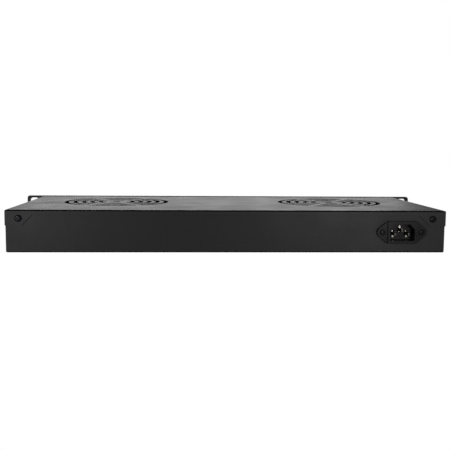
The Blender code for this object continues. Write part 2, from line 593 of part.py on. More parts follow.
# The rocker's side view, about its axis: two faces that meet in a shallow dish, and a round belly
rocker_outline = [(ROCKER_END, ROCKER_LENGTH / 2), (ROCKER_END - 1.0 * MM, 0.0),
                  (ROCKER_END, -ROCKER_LENGTH / 2)]
rocker_outline += [(-0.4 * MM, -ROCKER_LENGTH / 2)]
rocker_outline += arc((0.0, 0.0), 4.2 * MM, 240.0, 120.0, 6)
rocker_outline += [(-0.4 * MM, ROCKER_LENGTH / 2)]
rocker = prism("switch_rocker", [rocker_outline], ROCKER_WIDTH, sideways_at(), MOULDED_BLACK)
rocker.matrix_world = (Matrix.Translation((SWITCH_X, ROCKER_AXIS_Y, PANEL_MIDDLE))
                       @ Matrix.Rotation(ROCKER_TILT, 4, "X") @ sideways_at())
for rise, word in ((-5.0 * MM, "feed"), (5.0 * MM, "load")):
    z = PANEL_MIDDLE + rise
    cut(switch, box(f"switch_{word}_slot", (SWITCH_X - 3.45 * MM, PANEL_BACK_Y - 18 * MM, z - 0.7 * MM),
                    (SWITCH_X + 3.45 * MM, PANEL_BACK_Y - 9 * MM, z + 0.7 * MM)))
    box(f"switch_tab_{word}", (SWITCH_X - 3.15 * MM, PANEL_BACK_Y - 25 * MM, z - 0.4 * MM),
        (SWITCH_X + 3.15 * MM, PANEL_BACK_Y - 9.3 * MM, z + 0.4 * MM), NICKEL)


# Fans: a die-cast frame with the bearing tube, a wound stator, and an impeller on its shaft

FLANGE_THICK = 4.5 * MM
FRAME_WALL_RADIUS = 59.6 * MM
MOTOR_BASE_RADIUS = 31.0 * MM
TUBE_RADIUS = 7.0 * MM
BEARING_SEAT = 5.3 * MM
HUB_RADIUS = 34.0 * MM
BLADE_TIP_RADIUS = 55.6 * MM
BLADE_COUNT = 7


def fan_frame(name, x, y):
    outline = rounded_rectangle(FAN_SIZE, FAN_SIZE, 6 * MM, 3)
    frame = prism(name, [outline], FLANGE_THICK, flat_at(x, y, FAN_BASE + FLANGE_THICK / 2), DIE_CAST)
    upper = prism(name + "_upper", [outline], FLANGE_THICK,
                  flat_at(x, y, FAN_BASE + FAN_HEIGHT - FLANGE_THICK / 2))
    middle = FAN_BASE + FAN_HEIGHT / 2
    wall = cylinder(name + "_wall", (x, y, middle), FRAME_WALL_RADIUS, FAN_HEIGHT - 2 * MM, sides=40)
    join(frame, upper, wall)
    cut(frame, cylinder(name + "_duct", (x, y, middle), DUCT_RADIUS, FAN_HEIGHT + 4 * MM, sides=40))
    half = FAN_HOLE_SPACING / 2
    for number, (dx, dy) in enumerate(((-half, -half), (half, -half), (half, half), (-half, half))):
        cut(frame, cylinder(f"{name}_hole_{number}", (x + dx, y + dy, middle), FAN_SCREW_HOLE,
                            FAN_HEIGHT + 4 * MM,
                            sides=12))
    motor_base = turned(name + "_motor_base",
                        [(0.0, 1.5 * MM), (BEARING_SEAT, 1.5 * MM), (BEARING_SEAT, 28 * MM),
                         (TUBE_RADIUS, 28 * MM), (TUBE_RADIUS, 3 * MM), (MOTOR_BASE_RADIUS, 3 * MM),
                         (MOTOR_BASE_RADIUS, 0.0), (0.0, 0.0)],
                        (x, y, FAN_BASE), 24)
    join(frame, motor_base)
    for turn in range(4):
        strut = box(f"{name}_strut_{turn}", (28 * MM, -2.5 * MM, 0.2 * MM), (58.4 * MM, 2.5 * MM, 3.2 * MM))
        strut.location = (x, y, FAN_BASE)
        strut.rotation_euler = (0.0, 0.0, math.radians(45 + 90 * turn))
        join(frame, strut)


def fan_stator(word, x, y):
    outline = []
    for pole in range(4):
        outline += arc((0.0, 0.0), 28.2 * MM, 90 * pole - 32, 90 * pole + 32, 6)
        outline += arc((0.0, 0.0), 19.0 * MM, 90 * pole + 35, 90 * pole + 55, 2)
    core = prism(f"stator_core_{word}", [outline], 16 * MM, flat_at(x, y, FAN_BASE + 18 * MM), SILICON_STEEL)
    cut(core, cylinder(f"stator_bore_{word}", (x, y, FAN_BASE + 18 * MM), 7.4 * MM, 30 * MM, sides=24))
    winding = turned(f"stator_winding_{word}",
                     [(8.0 * MM, 3.2 * MM), (23.0 * MM, 3.2 * MM), (25.0 * MM, 1.6 * MM), (24.0 * MM, 0.0),
                      (8.0 * MM, 0.0), (8.0 * MM, 3.2 * MM)], (x, y, FAN_BASE + 26.3 * MM), 16, COPPER)
    winding.modifiers["turn"].use_normal_calculate = True


def bearing(name, x, y, low):
    profile = [(2.15 * MM, 4.0 * MM), (5.0 * MM, 4.0 * MM), (5.0 * MM, 0.0), (2.15 * MM, 0.0),
               (2.15 * MM, 4.0 * MM)]
    turned(name, profile, (x, y, FAN_BASE + low), 12, STEEL)


def impeller(name, x, y):
    hub = turned(name, [(0.0, 35 * MM), (HUB_RADIUS - 1.5 * MM, 35 * MM), (HUB_RADIUS, 33.5 * MM),
                        (HUB_RADIUS, 6 * MM),
                        (31.4 * MM, 6 * MM), (31.4 * MM, 33.2 * MM), (5.0 * MM, 33.2 * MM),
                        (5.0 * MM, 30.2 * MM),
                        (2.35 * MM, 30.2 * MM), (2.35 * MM, 34 * MM), (0.0, 34 * MM)],
                 (x, y, FAN_BASE), 32, IMPELLER_BLACK)
    for number in range(BLADE_COUNT):
        blade = place(f"{name}_blade_{number}", impeller_blade_mesh())
        blade.location = (x, y, FAN_BASE)
        blade.rotation_euler = (0.0, 0.0, 2 * math.pi * number / BLADE_COUNT)
        wall = blade.modifiers.new("thickness", "SOLIDIFY")
        wall.thickness = 1.6 * MM
        wall.offset = 0.0
        join(hub, blade)


def impeller_blade_mesh():
    """A sheet from the hub to the tip, twisted: steep at the hub and flatter at the tip."""
    mesh = bpy.data.meshes.new("impeller_blade")
    shape = bmesh.new()
    bmesh.ops.create_grid(shape, x_segments=3, y_segments=4, size=0.5)
    for vertex in shape.verts:
        outward = vertex.co.x + 0.5
        along = vertex.co.y * 2
        radius = HUB_RADIUS - 1.4 * MM + outward * (BLADE_TIP_RADIUS - HUB_RADIUS + 1.4 * MM)
        sweep = math.radians(14.0 * outward + (19.0 + 3.0 * outward) * along)
        rise = 19.5 * MM + (11.5 * MM - 1.5 * MM * outward) * along + 1.5 * MM * (1 - along * along)
        vertex.co = (radius * math.cos(sweep), radius * math.sin(sweep), rise)
    bmesh.ops.recalc_face_normals(shape, faces=shape.faces)
    shape.to_mesh(mesh)
    shape.free()
    return mesh


for side, word in ((-1, "left"), (1, "right")):
    x = side * FAN_X
    fan_frame(f"fan_frame_{word}", x, FAN_Y)
    fan_stator(word, x, FAN_Y)
    bearing(f"lower_bearing_{word}", x, FAN_Y, 4.0 * MM)
    bearing(f"upper_bearing_{word}", x, FAN_Y, 22.0 * MM)
    turned(f"fan_shaft_{word}", [(0.0, 31.5 * MM), (1.7 * MM, 31.5 * MM), (2.0 * MM, 31.2 * MM),
                                 (2.0 * MM, 0.0), (0.0, 0.0)],
           (x, FAN_Y, FAN_BASE + 2.2 * MM), 12, STEEL)
    turned(f"rotor_ring_{word}", [(29.3 * MM, 23 * MM), (31.0 * MM, 23 * MM), (31.0 * MM, 0.0),
                                  (29.3 * MM, 0.0),
                                  (29.3 * MM, 23 * MM)], (x, FAN_Y, FAN_BASE + 8.5 * MM), 28, SILICON_STEEL)
    impeller(f"impeller_{word}", x, FAN_Y)


# Leads inside the tray, and the clips that hold the long one

def smooth_route(points, spacing):
    """Points read at about even spacing along a curve through the given ones."""
    ends = [2 * Vector(points[0]) - Vector(points[1])] + [Vector(p) for p in points]
    ends.append(2 * Vector(points[-1]) - Vector(points[-2]))
    route = []
    for a, b, c, d in zip(ends, ends[1:], ends[2:], ends[3:]):
        steps = max(1, round((c - b).length / spacing))
        for step in range(steps):
            t = step / steps
            route.append(0.5 * (2 * b + (c - a) * t + (2 * a - 5 * b + 4 * c - d) * t * t
                                + (3 * b - a - 3 * c + d) * t ** 3))
    return route + [ends[-2]]


def lead(name, points, diameter, finish, spacing=11 * MM):
    tube = bpy.data.curves.new(name, "CURVE")
    tube.dimensions = "3D"
    tube.bevel_depth = diameter / 2
    tube.bevel_resolution = 1
    tube.use_fill_caps = True
    route = smooth_route([Vector(p) * MM for p in points], spacing)
    spline = tube.splines.new("POLY")
    spline.points.add(len(route) - 1)
    for point, place_on_route in zip(spline.points, route):
        point.co = (*place_on_route, 1.0)
    tube.materials.append(finish)
    PARTS.objects.link(bpy.data.objects.new(name, tube))


lead("live_lead", [(183.5, -76.7, 19.2), (184.5, -71, 19.2), (192, -62, 19), (205, -50, 21), (212, -30, 22),
                   (212, 20, 22),
                   (210, 50, 20), (199, 65, 17.5), (192.5, 69, 16.9), (192, 72.6, 16.83)], 2.4 * MM,
     LEAD_BROWN)
lead("neutral_lead", [(169.5, -76.7, 19.2), (169.5, -70, 18.4), (176, -62, 13), (188, -56, 11.5),
                      (195, -51, 11), (196, -46, 10), (196, -41.6, 10)],
     2.4 * MM, LEAD_BLUE)
lead("earth_lead", [(176.5, -76.7, 23.2), (175, -70, 23.4), (166, -64, 19), (152, -72, 9), (142, -82, 4.5),
                    (134.4, -84, 3.5)],
     2.4 * MM, LEAD_EARTH)
lead("switched_lead", [(192, 72.6, 26.83), (193, 67, 26.6), (202, 55, 24), (206, 35, 15), (204, 10, 9.5),
                       (203, -5, 8.5), (203, -10.4, 8.5)],
     2.4 * MM, LEAD_BROWN)
lead("fan_lead_right", [(182.0, 30, 8), (186, 29.8, 8), (194, 12, 8.2), (196, -4, 8.5), (196, -10.4, 8.5)],
     3.0 * MM, LEAD_BLACK)
lead("fan_lead_left", [(-61.2, -34, 7), (-57, -34.4, 7), (-48, -52, 7), (-26, -68, 7), (0, -70, 7),
                       (30, -70, 7), (60, -70, 7),
                       (100, -70, 6), (135, -68, 4.6), (165, -62, 4.4), (188, -57, 4.6), (200, -52, 6.5),
                       (204.5, -46, 8), (204.5, -41.6, 8)],
     3.0 * MM, LEAD_BLACK)

for number, x in enumerate((0.0, 60.0), 1):
    clip = box(f"lead_clip_{number}", ((x - 4) * MM, -76 * MM, FLOOR + GAP),
               ((x + 4) * MM, -64 * MM, 11 * MM), MOULDED_BLACK)
    cut(clip, cylinder(f"lead_clip_bore_{number}", (x * MM, -70 * MM, 7 * MM), FAN_SCREW_HOLE, 20 * MM, "X",
                       12))
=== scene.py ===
"""Looks for a one-unit rack cooling tray: a black powder-coated steel box with two fans and a mains inlet.

The tray stands on its own frame: +X to the right as seen from the rear, +Y towards the rack panel, +Z up.
"""
import math

import bmesh
import bpy
from mathutils import Matrix, Vector


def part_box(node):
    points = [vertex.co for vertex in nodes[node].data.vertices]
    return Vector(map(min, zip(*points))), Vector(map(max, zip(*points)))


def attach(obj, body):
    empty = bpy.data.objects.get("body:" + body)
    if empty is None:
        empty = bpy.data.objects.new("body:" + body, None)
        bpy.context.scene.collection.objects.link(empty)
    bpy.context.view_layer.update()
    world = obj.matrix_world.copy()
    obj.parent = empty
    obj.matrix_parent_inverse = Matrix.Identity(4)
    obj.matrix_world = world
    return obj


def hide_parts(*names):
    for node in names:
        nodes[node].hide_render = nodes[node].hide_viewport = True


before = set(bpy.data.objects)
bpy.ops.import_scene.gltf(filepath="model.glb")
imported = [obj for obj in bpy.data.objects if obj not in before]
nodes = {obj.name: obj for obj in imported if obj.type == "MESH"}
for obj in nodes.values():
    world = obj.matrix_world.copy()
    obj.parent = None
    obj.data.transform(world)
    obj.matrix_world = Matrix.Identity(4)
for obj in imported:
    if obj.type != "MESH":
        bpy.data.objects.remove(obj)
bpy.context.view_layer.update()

bpy.ops.object.select_all(action="DESELECT")


# Camera. It looks at the rear from a little above and to the left, as a buyer holds the box to see its inlet.
# A 59 mm lens on full frame, at arm's length, keeps the long edges nearly level.
MM = 0.001
camera_data = bpy.data.cameras.new("camera")
camera_data.sensor_width = 36.0
camera_data.lens = 59.03
camera_data.clip_start = 0.01
camera_data.clip_end = 50.0
camera = bpy.data.objects.new("camera", camera_data)
bpy.context.scene.collection.objects.link(camera)
yaw, pitch, roll = (math.radians(angle) for angle in (2.809, 6.140, 0.418))
camera.matrix_world = (Matrix.Translation(Vector((-39.35, -835.0, 107.38)) * MM)
                       @ Matrix.Rotation(-yaw, 4, "Z") @ Matrix.Rotation(math.pi / 2 - pitch, 4, "X")
                       @ Matrix.Rotation(roll, 4, "Z"))
bpy.context.scene.camera = camera


# Studio. The camera sees plain white behind the box and under it, while the box itself is lit by dimmer
# surroundings: a tall bright wall behind it, which the top reflects, and two soft lamps low in front.
def seen_or_lit(tree, seen, lit):
    """A strength that is one value for the camera and another for the light that falls on the box."""
    ray = tree.nodes.new("ShaderNodeLightPath")
    level = tree.nodes.new("ShaderNodeMath")
    level.operation = "MULTIPLY_ADD"
    level.inputs[1].default_value = seen - lit
    level.inputs[2].default_value = lit
    tree.links.new(ray.outputs["Is Camera Ray"], level.inputs[0])
    return level.outputs["Value"]


bpy.context.scene.view_settings.view_transform = "Standard"
surround = bpy.data.worlds.new("white_surround")
surround.use_nodes = True
sky = surround.node_tree.nodes["Background"]
sky.inputs["Color"].default_value = (1.0, 1.0, 1.0, 1.0)
surround.node_tree.links.new(seen_or_lit(surround.node_tree, 1.0, 0.17), sky.inputs["Strength"])
bpy.context.scene.world = surround

bpy.ops.mesh.primitive_plane_add(size=12.0, location=(0.0, 0.0, 0.0))
floor = bpy.context.object
floor.name = "studio_floor"
# A lit white table top: it glows evenly, so nothing casts a shadow on it.
table_top = bpy.data.materials.new("lit_table_top")
table_top.use_nodes = True
table_shader = table_top.node_tree.nodes["Principled BSDF"]
table_shader.inputs["Base Color"].default_value = (0.0, 0.0, 0.0, 1.0)
table_shader.inputs["Specular IOR Level"].default_value = 0.0
table_shader.inputs["Emission Color"].default_value = (1.0, 1.0, 1.0, 1.0)
table_top.node_tree.links.new(seen_or_lit(table_top.node_tree, 1.0, 0.32),
                              table_shader.inputs["Emission Strength"])
floor.data.materials.append(table_top)


def soft_lamp(name, place, target, size, brightness):
    """A rectangular lamp whose face has that brightness, where 1 is the white of the table."""
    lamp_data = bpy.data.lights.new(name, "AREA")
    lamp_data.shape = "RECTANGLE"
    lamp_data.size, lamp_data.size_y = size
    lamp_data.energy = math.pi * size[0] * size[1] * brightness
    lamp = bpy.data.objects.new(name, lamp_data)
    bpy.context.scene.collection.objects.link(lamp)
    lamp.location = place
    lamp.rotation_euler = (Vector(target) - Vector(place)).to_track_quat("-Z", "Y").to_euler()
    lamp.visible_camera = False


soft_lamp("back_lamp", (0.0, 1.6, 0.42), (0.0, 0.0, 0.03), (1.38, 0.84), 1.7)
soft_lamp("left_lamp", (-0.37, -0.5, 0.08), (-0.2, -0.1, 0.02), (0.22, 0.14), 5.0)
soft_lamp("right_lamp", (0.21, -0.5, 0.08), (0.12, -0.1, 0.02), (0.13, 0.14), 6.0)


# Base tray. One sheet of 1.2 mm steel, folded up on four sides and open at the top, its corners left as
# seams. Its side walls step inwards under the cover's flanges. Two vents and the holes for the inlet, the
# switch and the screws are punched in it, and it is powder coated black.
def linear(code):
    """An sRGB hex colour as linear red, green, blue and alpha."""
    values = [int(code[place:place + 2], 16) / 255 for place in (1, 3, 5)]
    return [v / 12.92 if v <= 0.04045 else ((v + 0.055) / 1.055) ** 2.4 for v in values] + [1.0]


def add_node(material, kind, inputs=None, **settings):
    """Adds a shader node with its settings; an input is a value or another node's output."""
    made = material.node_tree.nodes.new(kind)
    for name, value in settings.items():
        setattr(made, name, value)
    for name, value in (inputs or {}).items():
        if isinstance(value, bpy.types.NodeSocket):
            material.node_tree.links.new(value, made.inputs[name])
        else:
            made.inputs[name].default_value = value
    return made


def new_material(name):
    """An empty node material and its surface shader."""
    material = bpy.data.materials.new(name)
    material.use_nodes = True
    return material, material.node_tree.nodes["Principled BSDF"]


def connect(material, source, shader, name):
    material.node_tree.links.new(source, shader.inputs[name])


def grain(material, size_mm, detail=2.0, roughness=0.5):
    """A noise whose lumps are about that many millimetres across, fixed to the piece."""
    place = add_node(material, "ShaderNodeTexCoord")
    return add_node(material, "ShaderNodeTexNoise",
                    {"Vector": place.outputs["Object"], "Scale": 1.0 / (size_mm * MM), "Detail": detail,
                     "Roughness": roughness})


def between(material, source, low, high, from_low=0.3, from_high=0.7):
    """Takes a noise's middle range to a range of values."""
    return add_node(material, "ShaderNodeMapRange",
                    {"Value": source, "From Min": from_low, "From Max": from_high, "To Min": low,
                     "To Max": high}).outputs["Result"]


def colours(material, source, *stops):
    """Takes a noise's value to colours, given as (value, hex) stops."""
    ramp = add_node(material, "ShaderNodeValToRGB", {"Fac": source})
    for element, (value, code) in zip(ramp.color_ramp.elements, stops):
        element.position = value
        element.color = linear(code)
    return ramp.outputs["Color"]


# Polyester powder coat, baked: satin black, with a fine pebble that breaks up its reflections.
# The real pebble is about 0.3 mm; it is drawn at 0.9 mm so that it shows.
powder_coat, shader = new_material("black_powder_coat")
speck = grain(powder_coat, 0.9, 3.0, 0.6)
cloud = grain(powder_coat, 35.0, 2.0)
flat_coat = colours(powder_coat, speck.outputs["Fac"], (0.35, "#161617"), (0.65, "#202021"))
# Painted shade: on bends and edges the coat's colour is darkened and its reflection turned down, standing in
# for the shade along the folds. The sum of a normal's sizes along X, Y and Z is 1 on a flat face and 1.41
# halfway round a bend.
flat_sum = 1.02
bend_sum = 1.25
facing = add_node(powder_coat, "ShaderNodeTexCoord")
sizes = add_node(powder_coat, "ShaderNodeVectorMath", {0: facing.outputs["Normal"]}, operation="ABSOLUTE")
turned = add_node(powder_coat, "ShaderNodeVectorMath", {0: sizes.outputs["Vector"], 1: (1.0, 1.0, 1.0)},
                  operation="DOT_PRODUCT").outputs["Value"]
# Painted shade: on the bends the colour falls to about a third and the reflection to a tenth.
painted_bend_shade = add_node(powder_coat, "ShaderNodeHueSaturation",
                     {"Color": flat_coat, "Value": between(powder_coat, turned, 1.0, 0.35, flat_sum,
                                                           bend_sum)})
connect(powder_coat, painted_bend_shade.outputs["Color"], shader, "Base Color")
connect(powder_coat, between(powder_coat, turned, 0.5, 0.05, flat_sum, bend_sum), shader,
        "Specular IOR Level")
connect(powder_coat, between(powder_coat, cloud.outputs["Fac"], 0.44, 0.52), shader, "Roughness")
pebble = add_node(powder_coat, "ShaderNodeBump",
                  {"Height": speck.outputs["Fac"], "Strength": 0.35, "Distance": 0.05 * MM})
connect(powder_coat, pebble.outputs["Normal"], shader, "Normal")
shader.inputs["IOR"].default_value = 1.45


def choose(kind, test):
    """In edit mode, selects the faces, edges or vertices that pass a test."""
    bpy.ops.mesh.select_mode(type=kind)
    bpy.ops.mesh.select_all(action="DESELECT")
    data = bpy.context.object.data
    mesh = bmesh.from_edit_mesh(data)
    mesh.normal_update()
    for item in {"VERT": mesh.verts, "EDGE": mesh.edges, "FACE": mesh.faces}[kind]:
        if test(item):
            item.select_set(True)
    mesh.select_flush_mode()
    bmesh.update_edit_mesh(data)


def new_block(name, low, high):
    """A box between two corners, ready to be shaped."""
    bpy.ops.object.select_all(action="DESELECT")
    low, high = Vector(low), Vector(high)
    bpy.ops.mesh.primitive_cube_add(size=1.0, location=(low + high) / 2, scale=high - low)
    bpy.ops.object.transform_apply(location=True, rotation=True, scale=True)
    bpy.context.object.name = name
    return bpy.context.object


def new_rod(name, centre, radius, length, axis="Z", sides=32, end_radius=None):
    """A cylinder, or a cone when it has an end radius, about an axis through its centre."""
    bpy.ops.object.select_all(action="DESELECT")
    turn = {"X": (0.0, math.pi / 2, 0.0), "Y": (-math.pi / 2, 0.0, 0.0), "Z": (0.0, 0.0, 0.0)}[axis]
    bpy.ops.mesh.primitive_cone_add(vertices=sides, radius1=radius, depth=length, location=centre,
                                    rotation=turn,
                                    radius2=radius if end_radius is None else end_radius)
    bpy.ops.object.transform_apply(location=True, rotation=True, scale=True)
    bpy.context.object.name = name
    return bpy.context.object


def edit(piece):
    bpy.ops.object.select_all(action="DESELECT")
    piece.select_set(True)
    bpy.context.view_layer.objects.active = piece
    bpy.ops.object.mode_set(mode="EDIT")


def leave_edit():
    bpy.ops.object.mode_set(mode="OBJECT")


def apply_modifier(piece, kind, **settings):
    bpy.ops.object.select_all(action="DESELECT")
    piece.select_set(True)
    bpy.context.view_layer.objects.active = piece
    made = piece.modifiers.new(kind.lower(), kind)
    for name, value in settings.items():
        setattr(made, name, value)
    bpy.ops.object.modifier_apply(modifier=made.name)


def punch(piece, *tools, keep=False):
    """Cuts the tools out of a piece, then throws them away unless they are kept for another."""
    for tool in tools:
        apply_modifier(piece, "BOOLEAN", operation="DIFFERENCE", solver="EXACT", object=tool)
        if not keep:
            bpy.data.objects.remove(tool)


def weld_on(piece, *others):
    for other in others:
        apply_modifier(piece, "BOOLEAN", operation="UNION", solver="EXACT", object=other)
        bpy.data.objects.remove(other)


def soften(piece, width_mm, segments=2, angle=35.0):
    """Rounds a piece's remaining hard edges by a fraction of a millimetre and shades it smooth."""
    apply_modifier(piece, "BEVEL", width=width_mm * MM, segments=segments, limit_method="ANGLE",
                   angle_limit=math.radians(angle), harden_normals=False, use_clamp_overlap=True)
    apply_modifier(piece, "WEIGHTED_NORMAL", keep_sharp=True)


def finish_piece(piece, material, slot, body, *replaced):
    piece.data.materials.clear()
    piece.data.materials.append(material)
    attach(piece, body)
    if replaced:
        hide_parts(*replaced)


def is_level(edge):
    return abs(edge.verts[0].co.z - edge.verts[1].co.z) < 0.01 * MM


def folded_sheet(name, low, high, open_test, fold_z, thickness):
    """A box without its open sides, folded with a 1.5 mm radius where it meets the plane fold_z."""
    shell = new_block(name, low, high)
    edit(shell)
    choose("FACE", open_test)
    bpy.ops.mesh.delete(type="FACE")
    choose("EDGE",
           lambda e: is_level(e) and abs(e.verts[0].co.z - fold_z) < 0.01 * MM and len(e.link_faces) == 2)
    bpy.ops.mesh.bevel(offset=1.5 * MM, segments=6, affect="EDGES")
    leave_edit()
    apply_modifier(shell, "SOLIDIFY", thickness=thickness, offset=-1.0, use_even_offset=True)
    return shell


def vent_tool(name, centre):
    """The punches for one vent, tall enough for the tray's floor and the cover above it."""
    spoke_ends = (60.0, 120.0, 240.0, 300.0, 420.0)
    slot_width = 4.8 * MM
    spoke_width = 6.0 * MM
    tool = new_rod(name, (*centre, 22.0 * MM), 4.5 * MM, 60.0 * MM, sides=32)
    edit(tool)
    for ring in range(5):
        radius = (18.5 + 9.4 * ring) * MM
        trim = math.asin(spoke_width / 2 / radius)
        for start, end in zip(spoke_ends, spoke_ends[1:]):
            first = math.radians(start) + trim
            sweep = math.radians(end - start) - 2 * trim
            bpy.ops.mesh.select_all(action="DESELECT")
            bpy.ops.mesh.primitive_plane_add(
                size=1.0, rotation=(math.pi / 2, 0.0, first),
                location=(centre[0] + radius * math.cos(first), centre[1] + radius * math.sin(first),
                          22.0 * MM))
            bpy.ops.transform.resize(value=(slot_width, slot_width, 60.0 * MM), orient_type="GLOBAL",
                                     center_override=(centre[0] + radius * math.cos(first),
                                                      centre[1] + radius * math.sin(first), 22.0 * MM))
            bpy.ops.mesh.spin(steps=max(6, round(math.degrees(sweep) / 5.0)), angle=-sweep,
                              axis=(0.0, 0.0, 1.0),
                              center=(*centre, 0.0))
    choose("EDGE", lambda e: abs(e.verts[0].co.z - e.verts[1].co.z) > 50 * MM and len(e.link_faces) == 2
           and e.calc_face_angle() > 1.0)
    bpy.ops.mesh.bevel(offset=1.2 * MM, segments=3, affect="EDGES")
    bpy.ops.mesh.select_all(action="SELECT")
    bpy.ops.mesh.normals_make_consistent(inside=False)
    leave_edit()
    return tool


def middle(low, high):
    return (low + high) / 2


def centre_of(node):
    return middle(*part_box(node))


tray_low, tray_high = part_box("base_tray")
sheet_thickness = 1.2 * MM
through = 4.0 * MM
tray = folded_sheet("folded_base_tray", tray_low, tray_high, lambda f: f.normal.z > 0.9, tray_low.z,
                    sheet_thickness)
upper_x = tray_high.x - 1.1 * MM
joggle_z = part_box("top_cover")[0].z - 0.3 * MM
for side in (-1, 1):
    across = sorted((side * (upper_x - sheet_thickness), side * (upper_x + sheet_thickness / 2)))
    weld_on(tray, new_block("stepped_wall", (across[0], tray_low.y + sheet_thickness / 2,
                                             joggle_z - sheet_thickness),
                            (across[1], tray_high.y - sheet_thickness / 2,
                             tray_high.z - sheet_thickness / 4)))
    across = sorted((side * upper_x, side * (tray_high.x + through)))
    punch(tray, new_block("step_tool", (across[0], tray_low.y - through, joggle_z),
                          (across[1], tray_high.y + through, tray_high.z + through)))
vents = [vent_tool(f"vent_punch_{side}", centre_of(f"fan_frame_{side}").xy) for side in ("left", "right")]
punch(tray, *vents, keep=True)
for x in (tray_low.x, tray_high.x):
    for y, inwards in ((tray_low.y, 1), (tray_high.y, -1)):
        seam_y = y + inwards * (sheet_thickness + 0.2 * MM)
        punch(tray, new_block("corner_seam", (x - through, seam_y - 0.2 * MM, tray_low.z + 2.2 * MM),
                              (x + through, seam_y + 0.2 * MM, tray_high.z + through)))
fan_screws = sorted(name for name in nodes if name.startswith("fan_screw"))
for node in fan_screws:
    x, y = centre_of(node).xy
    punch(tray, new_rod("countersink", (x, y, tray_low.z), 4.35 * MM, 2.0 * MM, end_radius=2.35 * MM),
          new_rod("clearance_hole", (x, y, tray_low.z), 2.1 * MM, 2 * through))
for node, half_width, half_height in (("inlet_body", 13.9 * MM, 10.2 * MM),
                                      ("switch_housing", 6.9 * MM, 9.9 * MM)):
    x, z = centre_of(node).xz
    y = tray_low.y if node == "inlet_body" else tray_high.y
    punch(tray, new_block("opening", (x - half_width, y - through, z - half_height),
                          (x + half_width, y + through, z + half_height)))
wall_screws = ("cover_screw", "side_screw", "inlet_screw", "panel_screw")
for node in (name for name in nodes if name.startswith(wall_screws)):
    place = centre_of(node)
    place.y = min(max(place.y, tray_low.y), tray_high.y)
    punch(tray, new_rod("screw_hole", place, 1.8 * MM, 12 * MM, axis="X" if node.startswith("side") else "Y",
                        sides=24))
soften(tray, 0.2)
finish_piece(tray, powder_coat, "black_powder_coat", "chassis", "base_tray")


# Fans. Two 120 x 120 x 38 mm mains fans stand on the tray's floor and blow upwards. Each has a die-cast
# aluminium frame painted matt black, with four struts that carry the motor: a wound core of silicon steel
# round a bearing tube.
def dress(material, *starts):
    """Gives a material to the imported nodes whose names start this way."""
    for name, node in nodes.items():
        if name.startswith(starts):
            node.data.materials.clear()
            node.data.materials.append(material)


# Die-cast aluminium under thin matt paint: the grain of the casting shows as a soft 1.5 mm mottle.
painted_casting, shader = new_material("painted_die_casting")
mottle = grain(painted_casting, 1.5, 3.0)
connect(painted_casting, colours(painted_casting, mottle.outputs["Fac"], (0.3, "#191919"), (0.7, "#232322")),
        shader, "Base Color")
connect(painted_casting, between(painted_casting, mottle.outputs["Fac"], 0.5, 0.66), shader, "Roughness")
skin = add_node(painted_casting, "ShaderNodeBump",
                {"Height": mottle.outputs["Fac"], "Strength": 0.4, "Distance": 0.08 * MM})
connect(painted_casting, skin.outputs["Normal"], shader, "Normal")
dress(painted_casting, "fan_frame")

# Stacked laminations: bare grey steel, with an edge line every 0.5 mm up the stack.
laminations, shader = new_material("stacked_laminations")
place = add_node(laminations, "ShaderNodeTexCoord")
layers = add_node(laminations, "ShaderNodeTexWave",
                  {"Vector": place.outputs["Object"], "Scale": math.tau / 20.0 / (0.5 * MM),
                   "Distortion": 0.3},
                  bands_direction="Z")
connect(laminations, colours(laminations, layers.outputs["Fac"], (0.1, "#5a5a5c"), (0.5, "#85858a")), shader,
        "Base Color")
connect(laminations, between(laminations, layers.outputs["Fac"], 0.35, 0.55), shader, "Roughness")
shader.inputs["Metallic"].default_value = 1.0
dress(laminations, "stator_core", "rotor_ring")

# Enamelled copper wire, wound in rings 0.8 mm apart.
winding, shader = new_material("enamelled_copper_winding")
place = add_node(winding, "ShaderNodeTexCoord")
turns = add_node(winding, "ShaderNodeTexNoise", {"Vector": place.outputs["Object"],
                                                 "Scale": 1.0 / (0.8 * MM)})
connect(winding, colours(winding, turns.outputs["Fac"], (0.35, "#7a3a17"), (0.65, "#c06a34")), shader,
        "Base Color")
shader.inputs["Metallic"].default_value = 1.0
shader.inputs["Roughness"].default_value = 0.32
dress(winding, "stator_winding")

# Bright zinc plate on steel, with a faint cloudiness 6 mm across.
zinc_plate, shader = new_material("bright_zinc_plate")
haze = grain(zinc_plate, 6.0)
connect(zinc_plate, colours(zinc_plate, haze.outputs["Fac"], (0.3, "#a9aaa8"), (0.7, "#c4c5c4")), shader,
        "Base Color")
connect(zinc_plate, between(zinc_plate, haze.outputs["Fac"], 0.22, 0.36), shader, "Roughness")
shader.inputs["Metallic"].default_value = 1.0
dress(zinc_plate, "lower_bearing", "upper_bearing", "fan_shaft", "inlet_nut", "earth_stud", "earth_nut")


# Impellers. Seven swept blades moulded in one piece with the hub, a cup that fits over the rotor ring.
# The material is glass-filled polyester, black with a slight sheen.
def turn_selected(degrees, centre):
    """Turns the selection about an upright axis, anticlockwise seen from above."""
    bpy.ops.transform.rotate(value=-math.radians(degrees), orient_axis="Z", center_override=(*centre, 0.0))


# Glass-filled polyester: dark grey-black, its glass showing as fine streaks about 1 mm long.
filled_polyester, shader = new_material("glass_filled_polyester")
streak = grain(filled_polyester, 1.0, 4.0, 0.7)
connect(filled_polyester, colours(filled_polyester, streak.outputs["Fac"], (0.35, "#161617"),
                                  (0.7, "#232324")),
        shader, "Base Color")
connect(filled_polyester, between(filled_polyester, streak.outputs["Fac"], 0.36, 0.46), shader, "Roughness")

